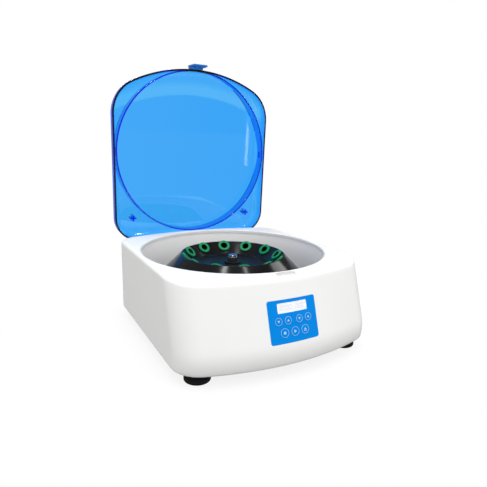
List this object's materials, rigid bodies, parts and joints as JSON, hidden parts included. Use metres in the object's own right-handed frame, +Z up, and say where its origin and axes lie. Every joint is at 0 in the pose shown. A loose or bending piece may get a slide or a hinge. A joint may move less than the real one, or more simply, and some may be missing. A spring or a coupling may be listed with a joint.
{
  "type": "laboratory centrifuge",
  "caption": "Benchtop centrifuge with a see-through hinged lid standing open, an angle rotor with tube sleeves in a round bowl, a membrane keypad and rubber feet.",
  "frame": {"origin": "on the floor, at the middle of the footprint with the lid open", "axes": "+Z up, -Y to the sloped front with the keypad, +X to the right seen from the front"},
  "size_m": [0.292, 0.3602, 0.4114],
  "materials": {
    "housing_white": "moulded ABS, satin gloss",
    "tray_grey": "moulded ABS, plain",
    "foot_rubber": "moulded rubber, matt",
    "mount_rubber": "moulded rubber, matt",
    "seal_rubber": "extruded silicone rubber, matt",
    "bowl_paint": "powder coated steel, pale grey",
    "motor_metal": "die cast, bare",
    "stator_copper": "enamelled copper winding",
    "steel": "turned and ground",
    "rotor_black": "turned, black anodised, glossy",
    "nut_metal": "turned, bright",
    "sleeve_green": "moulded polypropylene, satin",
    "panel_blue": "printed polyester film",
    "key_blue": "printed polyester film over a rubber key",
    "window_clear": "clear acrylic",
    "display_grey": "liquid crystal display",
    "board_green": "glass-fibre board, lacquered",
    "lid_blue": "see-through polycarbonate, polished",
    "hook_blue": "moulded polycarbonate, dark",
    "black_plastic": "moulded polyamide"
  },
  "bodies": {
    "housing": {"base_tray": "tray_grey", "bowl": "bowl_paint", "bowl_seal": "seal_rubber", "control_board": "board_green", "damper_1": "mount_rubber", "damper_2": "mount_rubber", "damper_3": "mount_rubber", "display_module": "display_grey", "display_window": "window_clear", "foot_front_left": "foot_rubber", "foot_front_right": "foot_rubber", "foot_rear_left": "foot_rubber", "foot_rear_right": "foot_rubber", "hinge_bracket_left": "steel", "hinge_bracket_right": "steel", "hinge_pin_left": "steel", "hinge_pin_right": "steel", "housing_shell": "housing_white", "lid_switch": "black_plastic", "lock_frame": "steel", "lock_solenoid": "black_plastic", "motor_bearing_lower": "steel", "motor_bearing_upper": "steel", "motor_can": "motor_metal", "motor_plate": "motor_metal", "motor_stator": "stator_copper", "panel_overlay": "panel_blue", "power_board": "board_green", "power_inlet": "black_plastic", "shaft_boot": "mount_rubber", "switch_frame": "black_plastic"},
    "lid": {"lid_shell": "lid_blue", "lid_hook": "hook_blue", "hinge_arm_left": "steel", "hinge_arm_right": "steel"},
    "rotor": {"rotor_body": "rotor_black", "rotor_nut": "nut_metal", "drive_shaft": "steel", "motor_magnet": "steel", "tube_sleeve_01": "sleeve_green", "tube_sleeve_02": "sleeve_green", "tube_sleeve_03": "sleeve_green", "tube_sleeve_04": "sleeve_green", "tube_sleeve_05": "sleeve_green", "tube_sleeve_06": "sleeve_green", "tube_sleeve_07": "sleeve_green", "tube_sleeve_08": "sleeve_green", "tube_sleeve_09": "sleeve_green", "tube_sleeve_10": "sleeve_green", "tube_sleeve_11": "sleeve_green", "tube_sleeve_12": "sleeve_green"},
    "key_time_down": {"key_time_down": "key_blue"},
    "key_time_up": {"key_time_up": "key_blue"},
    "key_speed_down": {"key_speed_down": "key_blue"},
    "key_speed_up": {"key_speed_up": "key_blue"},
    "key_stop": {"key_stop": "key_blue"},
    "key_start": {"key_start": "key_blue"},
    "key_lid": {"key_lid": "key_blue"},
    "power_rocker": {"power_rocker": "black_plastic"},
    "lock_bolt": {"lock_bolt": "steel"}
  },
  "joints": [
    {"name": "lid_hinge", "type": "hinge", "parent": "housing", "child": "lid", "pos_m": [0, 0.14684, 0.117], "axis": [1, 0, 0], "range_deg": [0, 88]},
    {"name": "rotor_spin", "type": "hinge", "parent": "housing", "child": "rotor", "pos_m": [0, -0.00016, 0.106], "axis": [0, 0, 1], "continuous": true},
    {"name": "rocker_tilt", "type": "hinge", "parent": "housing", "child": "power_rocker", "pos_m": [-0.012, 0.15684, 0.036], "axis": [1, 0, 0], "range_deg": [0, 16]},
    {"name": "lock_bolt_slide", "type": "slide", "parent": "housing", "child": "lock_bolt", "axis": [-1, 0, 0], "range_m": [0, 0.0055], "stiffness_N_per_m": 100},
    {"name": "key_time_down_press", "type": "slide", "parent": "housing", "child": "key_time_down", "axis": [0, 0.9511, -0.309], "range_m": [0, 0.0005], "stiffness_N_per_m": 800},
    {"name": "key_time_up_press", "type": "slide", "parent": "housing", "child": "key_time_up", "axis": [0, 0.9511, -0.309], "range_m": [0, 0.0005], "stiffness_N_per_m": 800},
    {"name": "key_speed_down_press", "type": "slide", "parent": "housing", "child": "key_speed_down", "axis": [0, 0.9511, -0.309], "range_m": [0, 0.0005], "stiffness_N_per_m": 800},
    {"name": "key_speed_up_press", "type": "slide", "parent": "housing", "child": "key_speed_up", "axis": [0, 0.9511, -0.309], "range_m": [0, 0.0005], "stiffness_N_per_m": 800},
    {"name": "key_stop_press", "type": "slide", "parent": "housing", "child": "key_stop", "axis": [0, 0.9511, -0.309], "range_m": [0, 0.0005], "stiffness_N_per_m": 800},
    {"name": "key_start_press", "type": "slide", "parent": "housing", "child": "key_start", "axis": [0, 0.9511, -0.309], "range_m": [0, 0.0005], "stiffness_N_per_m": 800},
    {"name": "key_lid_press", "type": "slide", "parent": "housing", "child": "key_lid", "axis": [0, 0.9511, -0.309], "range_m": [0, 0.0005], "stiffness_N_per_m": 800}
  ]
}
